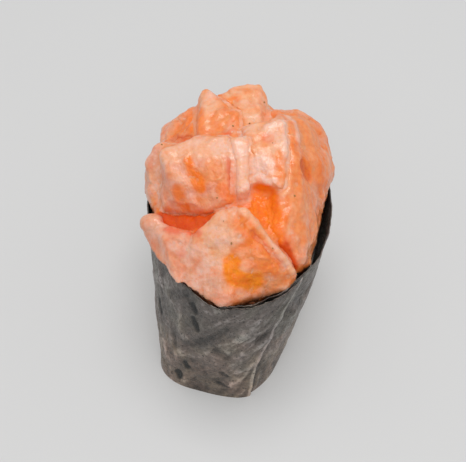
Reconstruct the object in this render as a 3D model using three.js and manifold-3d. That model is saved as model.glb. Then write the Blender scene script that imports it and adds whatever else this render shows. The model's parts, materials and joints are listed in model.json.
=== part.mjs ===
// Gunkan sushi: a strip of nori wrapped round a bed of rice and heaped with pieces of dressed salmon.
// Millimetres, +Z up. The long axis is Y, the end where the strip laps over itself is at -Y,
// and the origin is on the resting surface, under the middle of the part's box.
import * as THREE from "three";
import { ConvexGeometry } from "three/addons/geometries/ConvexGeometry.js";
import { mergeVertices } from "three/addons/utils/BufferGeometryUtils.js";
import Module from "manifold-3d";

const wasm = await Module();
wasm.setup();

const CLEARANCE = 0.3;
const DEGREE = Math.PI / 180;

// The wall's outline where it stands and at its rim: rounded, longer along Y, turned about Z.
// An outline's two sides leave each other faster than an ellipse's as `squareness` grows.
const FOOT = { x: 3.1, y: -17.3, halfWidth: 12.6, halfLength: 23.4, squareness: 3.5, turn: 0.31 };
const RIM = { x: 2.6, y: -14.6, halfWidth: 17.5, halfLength: 26.3, squareness: 1.9, turn: -0.02 };
const RIM_HEIGHT = 28;

// The wall swells a little over the rice, and the damp has creased it and made its rim uneven.
// Each wave turns `around` times on the way round and leans by `up` radians from foot to rim.
const WALL_SWELL = 0.5;
const WALL_CREASES = [
  { size: 0.22, around: 5, up: 4, phase: 0 },
  { size: 0.15, around: 11, up: -6, phase: 1 },
];
const RIM_WAVES = [
  { size: 0.35, around: 2, up: 0, phase: 0.6 },
  { size: 0.21, around: 5, up: 0, phase: 0 },
];
const FOOT_CREASE = 0.15;

// The strip starts at the front, goes once round by the right and the back,
// and ends past its own start, on the front right corner.
const STRIP = {
  thickness: 0.5,
  start: -104 * DEGREE,
  end: 315 * DEGREE,
  lapFrom: 215 * DEGREE,
  lapFull: 255 * DEGREE,
  lapGap: 0.35,
  freeEndDrop: 1.7,
  freeEndFlare: 0.9,
  flarePower: 3,
  steps: 84,
  rows: 7,
};

const RICE = { top: 22, crown: 1.0, steps: 44, rows: 4, rings: 3 };

// Nothing of the salmon comes into this ring, which holds the wall with its clearance.
const COLLAR = { bottom: 18, reach: 14, steps: 60, rows: 4 };

const BALL_DETAIL = 2;

// Each piece of salmon is one or more lobes. A lobe is a cut block: `top` holds the corners of its
// upper faces, which drop to the rice while they draw in by `taper`, and `round` is its edge radius.
const SALMON = [
  {
    name: "salmon_front",
    colour: 0xefa27c,
    lobes: [
      {
        round: 1.6,
        taper: 0.8,
        top: [
          [-1.0, -26.9, 40.2], [3.4, -27.0, 40.9], [8.6, -32.0, 37.4], [14.0, -35.4, 31.6],
          [11.0, -38.4, 28.8], [-1.4, -41.8, 28.2], [-8.4, -34.8, 29.4], [-5.6, -29.2, 36.4],
        ],
      },
      {
        round: 1.2,
        taper: 0.7,
        top: [
          [-14.8, -22.0, 31.4], [-9.8, -27.2, 33.8], [-5.0, -29.6, 35.4],
          [-7.5, -35.8, 29.4], [-12.8, -28.8, 29.3],
        ],
      },
    ],
  },
  {
    name: "salmon_mid_left",
    colour: 0xefb094,
    lobes: [
      {
        round: 1.5,
        taper: 0.8,
        top: [
          [-11.4, -13.2, 41.0], [-4.0, -9.6, 42.0], [1.2, -11.0, 42.2], [1.6, -17.0, 42.4],
          [2.0, -22.8, 38.0], [-3.0, -23.4, 35.8], [-11.8, -19.6, 33.0], [-11.0, -17.0, 40.4],
        ],
      },
    ],
  },
  {
    name: "salmon_strip",
    colour: 0xf3d6be,
    lobes: [
      {
        round: 0.7,
        taper: 1.0,
        top: [
          [1.7, -11.8, 43.0], [4.4, -11.6, 42.9], [4.9, -17.0, 42.0],
          [4.2, -22.2, 39.4], [3.0, -22.4, 39.2], [2.2, -17.0, 42.4],
        ],
      },
    ],
  },
  {
    name: "salmon_centre",
    colour: 0xf2b29f,
    lobes: [
      {
        round: 1.0,
        taper: 0.9,
        top: [
          [3.6, -8.4, 42.2], [10.0, -7.0, 43.4], [11.8, -13.4, 43.2], [10.8, -21.8, 40.6],
          [8.6, -20.0, 39.6], [4.6, -19.6, 39.6], [4.6, -14.6, 42.8],
        ],
      },
    ],
  },
  {
    name: "salmon_right",
    colour: 0xee9a66,
    lobes: [
      {
        round: 2.2,
        taper: 0.8,
        top: [
          [10.8, -6.6, 42.6], [9.6, -0.8, 39.8], [13.6, 2.6, 36.8], [18.2, 1.6, 33.6],
          [21.0, -6.6, 32.0], [18.6, -20.6, 29.2], [15.0, -31.6, 29.0], [13.4, -34.0, 32.4],
          [9.8, -30.0, 37.0], [11.0, -17.4, 41.8],
        ],
      },
    ],
  },
  {
    name: "salmon_back_left",
    colour: 0xeb9166,
    lobes: [
      {
        round: 1.0,
        taper: 1.0,
        top: [
          [-5.0, 1.6, 38.2], [-3.8, 3.6, 40.7], [-1.4, 1.6, 40.6], [3.0, -4.0, 41.4],
          [3.6, -12.4, 41.4], [-4.4, -11.4, 40.4],
        ],
      },
      {
        round: 1.4,
        taper: 1.0,
        top: [
          [-12.4, -1.2, 34.0], [-9.6, 4.4, 29.8], [-3.4, 9.2, 30.0], [-2.4, 3.4, 36.8],
          [-5.8, 0.6, 37.6], [-4.6, -10.6, 39.2], [-11.6, -9.6, 35.6],
        ],
      },
    ],
  },
  {
    name: "salmon_back",
    colour: 0xf0a480,
    lobes: [
      {
        round: 1.1,
        taper: 1.0,
        top: [
          [-1.6, 2.6, 40.0], [3.2, 4.7, 40.6], [6.8, 5.2, 40.5], [8.4, 1.0, 37.2],
          [9.6, -2.6, 38.6], [6.4, -9.6, 41.4], [1.6, -10.0, 41.4],
        ],
      },
      {
        round: 1.4,
        taper: 1.0,
        top: [
          [-1.4, 3.6, 37.0], [-1.0, 9.8, 30.0], [8.0, 9.2, 29.6], [12.6, 5.0, 29.6],
          [10.6, -2.4, 35.4], [7.0, 4.4, 37.4],
        ],
      },
    ],
  },
  {
    name: "salmon_left_small",
    colour: 0xecad8e,
    lobes: [
      {
        round: 1.8,
        taper: 0.9,
        top: [
          [-13.0, -18.4, 31.6], [-15.0, -14.2, 32.8], [-14.6, -9.6, 35.4],
          [-12.0, -7.4, 37.6], [-6.0, -11.0, 39.4], [-6.0, -18.0, 33.4],
        ],
      },
    ],
  },
  {
    name: "salmon_under",
    colour: 0xe0702a,
    lobes: [
      {
        round: 1.2,
        taper: 1.0,
        top: [
          [-13.2, -18.0, 30.8], [-4.0, -16.0, 33.6], [4.0, -14.0, 37.2], [11.0, -14.0, 38.0],
          [12.0, -28.0, 36.4], [4.0, -30.0, 36.0], [-4.6, -30.0, 32.4], [-13.0, -26.0, 30.6],
        ],
      },
    ],
  },
];

const NORI = { colour: 0x4a4c48, roughness: 0.55 };
const COOKED_RICE = { colour: 0xeeebe0, roughness: 0.5 };
const SALMON_ROUGHNESS = 0.35;

const NORMAL_STEP = 2 * DEGREE;

// Returns a smooth 0 to 1 step of `value` between `from` and `to`.
function smoothStep(from, to, value) {
  const t = THREE.MathUtils.clamp((value - from) / (to - from), 0, 1);
  return t * t * (3 - 2 * t);
}

// Returns the point of an outline at `angle`, where 0 is its +X side and 90 degrees its +Y end.
function outlinePoint(outline, angle) {
  const power = 2 / outline.squareness;
  const across = outline.halfWidth * Math.sign(Math.cos(angle)) * Math.abs(Math.cos(angle)) ** power;
  const along = outline.halfLength * Math.sign(Math.sin(angle)) * Math.abs(Math.sin(angle)) ** power;
  const c = Math.cos(outline.turn);
  const s = Math.sin(outline.turn);
  return new THREE.Vector2(outline.x + across * c + along * s, outline.y + along * c - across * s);
}

// Returns the wall's outer outline at `angle` and `level`, which runs from 0 at the foot to 1 at the rim.
function wallOutline(angle, level) {
  return outlinePoint(FOOT, angle).lerp(outlinePoint(RIM, angle), level);
}

// Returns the horizontal unit vector that points out of the wall.
function wallNormal(angle, level) {
  const ahead = wallOutline(angle + NORMAL_STEP, level);
  const behind = wallOutline(angle - NORMAL_STEP, level);
  return new THREE.Vector2(ahead.y - behind.y, behind.x - ahead.x).normalize();
}

// Returns the sum of some waves at `angle` and `level`.
function waveSum(waves, angle, level) {
  const heights = waves.map((w) => w.size * Math.sin(w.around * angle + w.up * level + w.phase));
  return heights.reduce((sum, height) => sum + height, 0);
}

// Returns how far the wall stands out of its plain outline, from the swell and the creases,
// which die out at the rim.
function wallRelief(angle, level) {
  const swell = WALL_SWELL * Math.sin(Math.PI * level);
  const depth = Math.sin(Math.PI * Math.min(1, level + FOOT_CREASE));
  return swell + depth * waveSum(WALL_CREASES, angle, level);
}

// Returns the height of the rim at `angle`.
function rimHeight(angle) {
  return RIM_HEIGHT + waveSum(RIM_WAVES, angle, 0);
}

// Returns the point of the wall at `angle` and `level`, `outset` further out than its plain face.
function wallPoint(angle, level, outset, height) {
  const place = wallOutline(angle, level);
  place.addScaledVector(wallNormal(angle, level), wallRelief(angle, level) + outset);
  return new THREE.Vector3(place.x, place.y, level * height);
}

// Returns how far the strip has left the plain wall, to lap over its own start.
function lapOffset(angle) {
  return (STRIP.thickness + STRIP.lapGap) * smoothStep(STRIP.lapFrom, STRIP.lapFull, angle);
}

// Returns a grid of points, one row of `rows + 1` points for each of the `columns + 1` columns.
function pointGrid(columns, rows, pointAt) {
  return Array.from({ length: columns + 1 }, (_, i) =>
    Array.from({ length: rows + 1 }, (_, j) => pointAt(i / columns, j / rows)),
  );
}

// Adds the quads between two lists of points to `triangles`, facing left of the way from a to b.
function addBand(triangles, a, b) {
  for (let j = 0; j + 1 < a.length; j += 1) {
    triangles.push(a[j], b[j], b[j + 1]);
    triangles.push(a[j], b[j + 1], a[j + 1]);
  }
}

// Returns a closed geometry between an outer and an inner grid that run the same way.
function shellGeometry(outer, inner, isRing) {
  const triangles = [];
  for (let i = 0; i + 1 < outer.length; i += 1) {
    addBand(triangles, outer[i], outer[i + 1]);
    addBand(triangles, inner[i + 1], inner[i]);
    const last = outer[i].length - 1;
    addBand(triangles, [outer[i][last], inner[i][last]], [outer[i + 1][last], inner[i + 1][last]]);
    addBand(triangles, [inner[i][0], outer[i][0]], [inner[i + 1][0], outer[i + 1][0]]);
  }
  if (!isRing) {
    addBand(triangles, inner[0], outer[0]);
    addBand(triangles, outer[outer.length - 1], inner[inner.length - 1]);
  }
  return new THREE.BufferGeometry().setFromPoints(triangles);
}

// Returns the manifold solid of a closed geometry.
function solidOf(geometry) {
  const bare = geometry.clone();
  bare.deleteAttribute("normal");
  bare.deleteAttribute("uv");
  const merged = mergeVertices(bare, 1e-4);
  return new wasm.Manifold(
    new wasm.Mesh({
      numProp: 3,
      vertProperties: merged.attributes.position.array,
      triVerts: new Uint32Array(merged.index.array),
    }),
  );
}

// Returns a faceted geometry of a manifold solid.
function geometryOf(solid) {
  const mesh = solid.getMesh();
  const geometry = new THREE.BufferGeometry();
  geometry.setAttribute("position", new THREE.BufferAttribute(mesh.vertProperties, 3));
  geometry.setIndex(new THREE.BufferAttribute(mesh.triVerts, 1));
  const faceted = geometry.toNonIndexed();
  faceted.computeVertexNormals();
  return faceted;
}

// Returns the strip of nori, from its start under the lap to its free end over it.
function stripGeometry() {
  const pointAt = (along, level, outset) => {
    const angle = THREE.MathUtils.lerp(STRIP.start, STRIP.end, along);
    const freeEnd = smoothStep(STRIP.lapFull, STRIP.end, angle);
    const flare = STRIP.freeEndFlare * freeEnd * level ** STRIP.flarePower;
    const height = rimHeight(angle) - STRIP.freeEndDrop * freeEnd;
    return wallPoint(angle, level, outset + lapOffset(angle) + flare, height);
  };
  const outer = pointGrid(STRIP.steps, STRIP.rows, (u, v) => pointAt(u, v, 0));
  const inner = pointGrid(STRIP.steps, STRIP.rows, (u, v) => pointAt(u, v, -STRIP.thickness));
  return shellGeometry(outer, inner, false);
}

// Returns the ring that the salmon keeps out of: the wall with its clearance, and the air outside it.
function collarSolid() {
  const inset = STRIP.thickness + CLEARANCE;
  const low = COLLAR.bottom / RIM_HEIGHT;
  const pointAt = (u, v, outset) => {
    const angle = 2 * Math.PI * u;
    const point = wallPoint(angle, THREE.MathUtils.lerp(low, 1, v), outset, rimHeight(angle));
    point.z += CLEARANCE * v;
    return point;
  };
  const outer = pointGrid(COLLAR.steps, COLLAR.rows, (u, v) => pointAt(u, v, COLLAR.reach));
  const inner = pointGrid(COLLAR.steps, COLLAR.rows, (u, v) => pointAt(u, v, -inset));
  return solidOf(shellGeometry(outer, inner, true));
}

// Returns the closed geometry of the rice, `grow` larger all over: flat below, crowned above.
function riceGeometry(grow) {
  const inset = STRIP.thickness + CLEARANCE - grow;
  const topLevel = (RICE.top + grow) / RIM_HEIGHT;
  const wall = pointGrid(RICE.steps, RICE.rows, (u, v) =>
    wallPoint(2 * Math.PI * u, v * topLevel, -inset, RIM_HEIGHT),
  );
  const heart = new THREE.Vector3((FOOT.x + RIM.x) / 2, (FOOT.y + RIM.y) / 2, 0);
  const triangles = [];
  for (let i = 0; i < RICE.steps; i += 1) {
    addBand(triangles, wall[i], wall[i + 1]);
    const roof = [wall[i], wall[i + 1]].map((column) => roofPoints(column[RICE.rows], heart, grow));
    addBand(triangles, roof[0], roof[1]);
    triangles.push(wall[i + 1][0], wall[i][0], heart.clone());
  }
  return new THREE.BufferGeometry().setFromPoints(triangles);
}

// Returns the points of the rice's roof from its edge to its middle.
function roofPoints(edge, heart, grow) {
  return Array.from({ length: RICE.rings + 1 }, (_, k) => {
    const t = k / RICE.rings;
    const crown = RICE.crown * (1 - (1 - t) ** 2);
    return new THREE.Vector3(
      THREE.MathUtils.lerp(edge.x, heart.x, t),
      THREE.MathUtils.lerp(edge.y, heart.y, t),
      RICE.top + grow + crown,
    );
  });
}

// Returns the hull of balls that stand in a lobe's corners, `grow` larger all over.
function lobeSolid(lobe, grow) {
  const corners = lobe.top.map((corner) => new THREE.Vector3(...corner));
  const middle = new THREE.Vector3();
  corners.forEach((corner) => middle.addScaledVector(corner, 1 / corners.length));
  const feet = corners.map((corner) => {
    const foot = middle.clone().lerp(corner, lobe.taper);
    foot.z = RICE.top;
    return foot;
  });
  const ball = new THREE.IcosahedronGeometry(lobe.round + grow, BALL_DETAIL).attributes.position;
  const points = [];
  for (const corner of [...corners, ...feet]) {
    const inward = new THREE.Vector3(middle.x - corner.x, middle.y - corner.y, 0).setLength(lobe.round);
    const seat = corner.z > RICE.top ? corner.clone().add(inward) : corner.clone();
    seat.z -= lobe.round;
    for (let i = 0; i < ball.count; i += 1) {
      points.push(new THREE.Vector3().fromBufferAttribute(ball, i).add(seat));
    }
  }
  return solidOf(new ConvexGeometry(points));
}

// Returns a piece of salmon, `grow` larger all over.
function pieceSolid(piece, grow) {
  return piece.lobes.map((lobe) => lobeSolid(lobe, grow)).reduce((whole, lobe) => whole.add(lobe));
}

// Returns the largest of the bodies that a solid falls into.
function largestBody(solid) {
  return solid.decompose().reduce((best, body) => (body.volume() > best.volume() ? body : best));
}

// Returns each piece of salmon with its solid, cut back from the pieces listed before it.
function salmonSolids() {
  const keepOut = [collarSolid(), solidOf(riceGeometry(CLEARANCE))];
  return SALMON.map((piece) => {
    const cut = keepOut.reduce((rest, other) => rest.subtract(other), pieceSolid(piece, 0));
    keepOut.push(pieceSolid(piece, CLEARANCE));
    return [piece, largestBody(cut)];
  });
}

// Adds a named mesh with its finish to the group.
function addPart(group, name, geometry, finish) {
  const { colour, roughness } = finish;
  const material = new THREE.MeshStandardMaterial({ color: colour, roughness, metalness: 0 });
  const mesh = new THREE.Mesh(geometry, material);
  mesh.name = name;
  group.add(mesh);
}

// Returns the whole part, standing on z = 0 under the middle of its box.
function gunkan() {
  const group = new THREE.Group();
  addPart(group, "nori_band", stripGeometry(), NORI);
  addPart(group, "rice_bed", riceGeometry(0), COOKED_RICE);
  for (const [piece, solid] of salmonSolids()) {
    addPart(group, piece.name, geometryOf(solid), { colour: piece.colour, roughness: SALMON_ROUGHNESS });
  }
  const box = new THREE.Box3().setFromObject(group);
  const middle = box.getCenter(new THREE.Vector3());
  group.position.set(-middle.x, -middle.y, -box.min.z);
  return group;
}

export default gunkan();
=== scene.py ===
"""Gunkan sushi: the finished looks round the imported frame.

A damp strip of nori stands round a bed of rice and holds a heap of salmon pieces in a pale
dressing. Sizes are in millimetres unless a name or a docstring says otherwise, and meshes are
turned into metres when they are written.
"""

from __future__ import annotations

import itertools
import json
import logging
import math
from dataclasses import dataclass
from enum import Enum
from typing import Callable, Iterable, Sequence

import bmesh
import bpy
import numpy as np
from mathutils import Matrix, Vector
from mathutils.bvhtree import BVHTree
from mathutils.kdtree import KDTree

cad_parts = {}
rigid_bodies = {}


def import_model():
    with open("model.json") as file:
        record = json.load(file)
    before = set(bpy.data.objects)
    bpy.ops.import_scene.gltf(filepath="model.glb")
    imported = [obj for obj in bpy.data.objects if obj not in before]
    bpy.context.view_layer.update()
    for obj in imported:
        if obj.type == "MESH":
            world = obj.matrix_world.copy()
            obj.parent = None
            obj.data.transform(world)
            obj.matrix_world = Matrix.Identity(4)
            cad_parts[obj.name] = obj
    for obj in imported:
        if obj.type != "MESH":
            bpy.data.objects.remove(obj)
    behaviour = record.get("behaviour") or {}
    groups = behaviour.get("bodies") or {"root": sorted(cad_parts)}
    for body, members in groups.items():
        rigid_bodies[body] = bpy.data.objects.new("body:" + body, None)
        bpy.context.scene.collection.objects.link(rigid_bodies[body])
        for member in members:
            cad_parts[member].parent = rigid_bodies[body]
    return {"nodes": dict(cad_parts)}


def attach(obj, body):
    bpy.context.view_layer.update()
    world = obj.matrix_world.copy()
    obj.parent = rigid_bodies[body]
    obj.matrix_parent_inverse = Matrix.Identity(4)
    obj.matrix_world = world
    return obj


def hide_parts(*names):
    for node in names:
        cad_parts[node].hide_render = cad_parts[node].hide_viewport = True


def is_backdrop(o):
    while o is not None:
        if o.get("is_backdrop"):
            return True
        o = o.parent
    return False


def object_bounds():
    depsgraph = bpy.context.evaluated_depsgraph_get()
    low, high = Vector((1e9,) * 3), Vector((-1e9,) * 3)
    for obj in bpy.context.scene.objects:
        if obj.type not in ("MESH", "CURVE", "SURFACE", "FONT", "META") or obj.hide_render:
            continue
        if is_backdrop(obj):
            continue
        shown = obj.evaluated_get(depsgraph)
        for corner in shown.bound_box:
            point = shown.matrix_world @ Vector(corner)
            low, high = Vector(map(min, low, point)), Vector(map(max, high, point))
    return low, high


LOG = logging.getLogger("gunkan")
MM = 0.001
BODY = "root"
# The wall's height and its mean radius, and the distance between the salmon's flakes.
WALL_HEIGHT = 28.0
WALL_RADIUS = 22.0
FLAKE_PITCH = 2.6
# The salmon piece that the others lie on.
UNDERNEATH = "salmon_under"

Place = tuple[float, float, float]
Colour = tuple[float, float, float]
Profile = tuple[tuple[float, float], ...]


class Slot(Enum):
    """The record's material slots."""

    NORI = "nori"
    RICE = "rice"
    SALMON = "salmon"
    DRESSING = "dressing"
    SEASONING = "seasoning"


class Tint(Enum):
    """The colours found in the salmon and its dressing, and a dark orange painted as shade, as linear
    RGB.
    """

    FLESH = (0.88, 0.23, 0.045)
    PEACH = (0.88, 0.30, 0.10)
    ORANGE = (0.93, 0.21, 0.006)
    AMBER = (0.96, 0.26, 0.0)
    # A dark orange painted as shade into the pockets, grooves and dents between the pieces.
    DEEP_SHADE = (0.70, 0.085, 0.0)
    RED = (0.82, 0.11, 0.03)
    PINK = (0.82, 0.32, 0.20)
    BEIGE = (0.72, 0.36, 0.24)
    CREAM = (0.90, 0.45, 0.25)
    WHITE = (0.93, 0.60, 0.50)


def smooth_step(low: float, high: float, values: np.ndarray) -> np.ndarray:
    """Returns a smooth 0 to 1 step of the values between low and high, which may be swapped."""
    t = np.clip((values - low) / (high - low), 0.0, 1.0)
    return t * t * (3.0 - 2.0 * t)


class Noise:
    """Smooth, repeatable noise in space."""

    TABLE = 256
    GAIN = 1.7

    def __init__(self, seed: int) -> None:
        """Shuffles the lattice.

        Args:
            seed: Number that fixes the pattern.
        """
        rng = np.random.default_rng(seed)
        self._table = rng.permutation(self.TABLE)
        slopes = rng.normal(size=(self.TABLE, 3))
        self._slopes = slopes / np.linalg.norm(slopes, axis=1, keepdims=True)

    def _key(self, cells: np.ndarray) -> np.ndarray:
        """Looks up the lattice.

        Args:
            cells: Whole-number cells, one row each.

        Returns:
            The entry of each cell.
        """
        key = self._table[cells[:, 0] % self.TABLE]
        key = self._table[(key + cells[:, 1]) % self.TABLE]
        return self._table[(key + cells[:, 2]) % self.TABLE]

    def at(self, points: np.ndarray, size: float) -> np.ndarray:
        """Samples the noise.

        Args:
            points: Places, one row each.
            size: Length over which the noise changes.

        Returns:
            Values from about -1 to 1, one for each place.
        """
        scaled = points / size
        cells = np.floor(scaled).astype(int)
        inside = scaled - cells
        fade = inside**3 * (inside * (inside * 6.0 - 15.0) + 10.0)
        total = np.zeros(len(points))
        for corner in itertools.product((0, 1), repeat=3):
            offset = np.array(corner)
            weight = np.prod(np.where(offset == 1, fade, 1.0 - fade), axis=1)
            slope = self._slopes[self._key(cells + offset)]
            total += weight * np.sum(slope * (inside - offset), axis=1)
        return total * self.GAIN

    def ridges(self, points: np.ndarray, size: float) -> np.ndarray:
        """Returns noise with sharp crests at 1 and broad hollows that go down to about -1."""
        return 1.0 - np.abs(self.at(points, size)) * 2.0


@dataclass
class Surface:
    """A mesh's points and outward directions as arrays, in millimetres."""

    mesh: bpy.types.Mesh

    def __post_init__(self) -> None:
        """Reads the mesh."""
        count = len(self.mesh.vertices)
        flat = np.empty(count * 3)
        self.mesh.vertices.foreach_get("co", flat)
        self.points = flat.reshape(-1, 3) / MM
        flat = np.empty(count * 3, np.float32)
        self.mesh.vertex_normals.foreach_get("vector", flat)
        self.normals = flat.reshape(-1, 3).astype(float)
        pairs = np.empty(len(self.mesh.edges) * 2, np.int32)
        self.mesh.edges.foreach_get("vertices", pairs)
        self.edges = pairs.reshape(-1, 2)

    def write(self) -> None:
        """Puts the points back into the mesh."""
        self.mesh.vertices.foreach_set("co", (self.points * MM).ravel())
        self.mesh.update()

    def blurred(self, values: np.ndarray, rounds: int) -> np.ndarray:
        """Averages values over neighbouring points.

        Args:
            values: One value, or one row, for each point.
            rounds: How many times they are averaged.

        Returns:
            The blurred values.
        """
        first, second = self.edges[:, 0], self.edges[:, 1]
        count = np.bincount(self.edges.ravel(), minlength=len(self.points)).astype(float)
        count = count.reshape((-1,) + (1,) * (values.ndim - 1))
        result = values.astype(float)
        for _ in range(rounds):
            total = np.zeros_like(result)
            np.add.at(total, first, result[second])
            np.add.at(total, second, result[first])
            result = 0.5 * result + 0.5 * total / count
        return result

    def bulge(self, rounds: int) -> np.ndarray:
        """Returns how far each point stands out of its smoothed neighbourhood."""
        flat = self.blurred(self.points, rounds)
        return np.sum((self.points - flat) * self.normals, axis=1)

    def in_box(self, share: Place) -> np.ndarray:
        """Returns the place at some shares of the mesh's box along X, Y and Z."""
        low, high = self.points.min(axis=0), self.points.max(axis=0)
        return low + (high - low) * np.array(share)

    def nearest(self, place: np.ndarray) -> int:
        """Returns the index of the point nearest to a place."""
        return int(np.argmin(np.sum((self.points - place) ** 2, axis=1)))

    def kept(self, name: str) -> np.ndarray:
        """Reads back what `store` kept.

        Args:
            name: The attribute's name.

        Returns:
            One row for each point, with a single number or with a colour's three.
        """
        layer = self.mesh.attributes[name]
        data = layer.data
        if layer.data_type == "FLOAT":
            values = np.empty(len(data), np.float32)
            data.foreach_get("value", values)
            return values[:, None]
        values = np.empty(len(data) * 4, np.float32)
        data.foreach_get("color", values)
        return values.reshape(-1, 4)[:, :3]

    def store(self, name: str, values: np.ndarray) -> None:
        """Keeps values on the points, for the materials to read.

        Args:
            name: The attribute's name.
            values: A number for each point, or a row for each with a colour.
        """
        if values.ndim == 1:
            layer = self.mesh.attributes.new(name, "FLOAT", "POINT")
            layer.data.foreach_set("value", values.astype(np.float32))
            return
        layer = self.mesh.attributes.new(name, "FLOAT_COLOR", "POINT")
        alpha = np.ones((len(values), 1))
        layer.data.foreach_set("color", np.hstack([values, alpha]).astype(np.float32).ravel())


def show(name: str, mesh: bpy.types.Mesh) -> bpy.types.Object:
    """Puts a mesh into the scene, smooth-shaded.

    Args:
        name: The new object's name.
        mesh: Its mesh.

    Returns:
        The new object.
    """
    piece = bpy.data.objects.new(name, mesh)
    bpy.context.scene.collection.objects.link(piece)
    mesh.polygons.foreach_set("use_smooth", [True] * len(mesh.polygons))
    return piece


def baked(piece: bpy.types.Object, name: str) -> bpy.types.Object:
    """Replaces an object by a plain one of what its modifiers make.

    Args:
        piece: Object with live modifiers, which is removed.
        name: The new object's name.

    Returns:
        The plain object.
    """
    graph = bpy.context.evaluated_depsgraph_get()
    mesh = bpy.data.meshes.new_from_object(piece.evaluated_get(graph), depsgraph=graph)
    bpy.data.objects.remove(piece, do_unlink=True)
    mesh.name = name
    return show(name, mesh)


def mesh_of(name: str, points: np.ndarray, faces: Iterable[Sequence[int]]) -> bpy.types.Mesh:
    """Makes a mesh.

    Args:
        name: The mesh's name.
        points: Its points in millimetres, one row each.
        faces: The indices of each face's points, anticlockwise from outside.

    Returns:
        The new mesh.
    """
    mesh = bpy.data.meshes.new(name)
    mesh.from_pydata((points * MM).tolist(), [], [list(face) for face in faces])
    mesh.update()
    return mesh


def settle(piece: bpy.types.Object, slot: Slot, *nodes: str) -> None:
    """Ties a finished piece to the frame.

    Args:
        piece: The piece, which rides on the body.
        slot: Its material slot, which is not used.
        nodes: The frame nodes that it stands for.
    """
    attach(piece, BODY)
    if nodes:
        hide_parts(*nodes)
    LOG.info("%s: %d faces, stands for %s", piece.name, len(piece.data.polygons), nodes or "nothing")


class Shader:
    """A material under construction, one node at a time."""

    def __init__(self, name: str) -> None:
        """Starts a material with a Principled shader at its output.

        Args:
            name: The material's name.
        """
        self.material = bpy.data.materials.new(name)
        self.material.use_nodes = True
        self.tree = self.material.node_tree
        self.tree.nodes.clear()
        output = self.tree.nodes.new("ShaderNodeOutputMaterial")
        self.principled = self.tree.nodes.new("ShaderNodeBsdfPrincipled")
        self.join(self.principled.outputs[0], output.inputs["Surface"])
        coordinates = self.tree.nodes.new("ShaderNodeTexCoord")
        self.object_place = coordinates.outputs["Object"]

    def join(self, source: bpy.types.NodeSocket, target: bpy.types.NodeSocket) -> None:
        """Links two sockets."""
        self.tree.links.new(source, target)

    def set(self, name: str, value: float | tuple[float, ...]) -> None:
        """Sets a socket of the Principled shader by name."""
        self.principled.inputs[name].default_value = value

    def feed(self, name: str, source: bpy.types.NodeSocket) -> None:
        """Links a socket of the Principled shader by name."""
        self.join(source, self.principled.inputs[name])

    def attribute(self, name: str, is_colour: bool = False) -> bpy.types.NodeSocket:
        """Reads what is kept on the mesh's points.

        Args:
            name: The attribute's name.
            is_colour: Whether it holds a colour and not a number.

        Returns:
            The output with the value.
        """
        node = self.tree.nodes.new("ShaderNodeAttribute")
        node.attribute_name = name
        return node.outputs["Color" if is_colour else "Fac"]

    def noise(self, size: float, detail: float) -> bpy.types.NodeSocket:
        """Makes noise on the object's coordinates.

        Args:
            size: Size of a blotch in millimetres.
            detail: Number of finer layers.

        Returns:
            The noise's value output.
        """
        mapping = self.tree.nodes.new("ShaderNodeMapping")
        mapping.inputs["Scale"].default_value = (1.0 / (size * MM),) * 3
        self.join(self.object_place, mapping.inputs["Vector"])
        node = self.tree.nodes.new("ShaderNodeTexNoise")
        node.inputs["Scale"].default_value = 1.0
        node.inputs["Detail"].default_value = detail
        self.join(mapping.outputs[0], node.inputs["Vector"])
        return node.outputs["Fac"]

    def ramp(
        self, source: bpy.types.NodeSocket, *stops: tuple[float, Colour | float]
    ) -> bpy.types.NodeSocket:
        """Makes a colour ramp.

        Args:
            source: The value that it runs over.
            stops: Positions from 0 to 1, each with a colour or a grey.

        Returns:
            The ramp's colour output.
        """
        node = self.tree.nodes.new("ShaderNodeValToRGB")
        elements = node.color_ramp.elements
        while len(elements) < len(stops):
            elements.new(0.5)
        for element, (position, tone) in zip(elements, stops):
            element.position = position
            colour = (tone,) * 3 if isinstance(tone, (int, float)) else tone
            element.color = (*colour, 1.0)
        self.join(source, node.inputs["Fac"])
        return node.outputs["Color"]

    def maths(self, operation: str, first: object, second: object) -> bpy.types.NodeSocket:
        """Makes a sum, a product or the like.

        Args:
            operation: The math node's operation.
            first: A socket or a number.
            second: A socket or a number.

        Returns:
            The result's output.
        """
        node = self.tree.nodes.new("ShaderNodeMath")
        node.operation = operation
        for socket, value in zip(node.inputs, (first, second)):
            if isinstance(value, bpy.types.NodeSocket):
                self.join(value, socket)
            else:
                socket.default_value = value
        return node.outputs[0]

    def mix(
        self, factor: object, first: object, second: object, blend: str = "MIX"
    ) -> bpy.types.NodeSocket:
        """Makes a mix of two colours.

        Args:
            factor: A socket or a number, the second colour's share.
            first: A socket or linear RGB.
            second: A socket or linear RGB.
            blend: The mix node's way of blending.

        Returns:
            The mixed colour's output.
        """
        node = self.tree.nodes.new("ShaderNodeMix")
        node.data_type = "RGBA"
        node.blend_type = blend
        # A mix node's colours are its inputs 6 and 7 and its output 2.
        sockets = (node.inputs["Factor"], node.inputs[6], node.inputs[7])
        for socket, value in zip(sockets, (factor, first, second)):
            if isinstance(value, bpy.types.NodeSocket):
                self.join(value, socket)
            elif isinstance(value, (int, float)):
                socket.default_value = value
            else:
                socket.default_value = (*value, 1.0)
        return node.outputs[2]

    def bump(self, height: bpy.types.NodeSocket, depth: float, strength: float) -> None:
        """Roughens the surface.

        Args:
            height: The pattern's height, from 0 to 1.
            depth: How deep that is in millimetres.
            strength: How strongly it shows.
        """
        node = self.tree.nodes.new("ShaderNodeBump")
        node.inputs["Strength"].default_value = strength
        node.inputs["Distance"].default_value = depth * MM
        self.join(height, node.inputs["Height"])
        self.join(node.outputs["Normal"], self.principled.inputs["Normal"])


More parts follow.
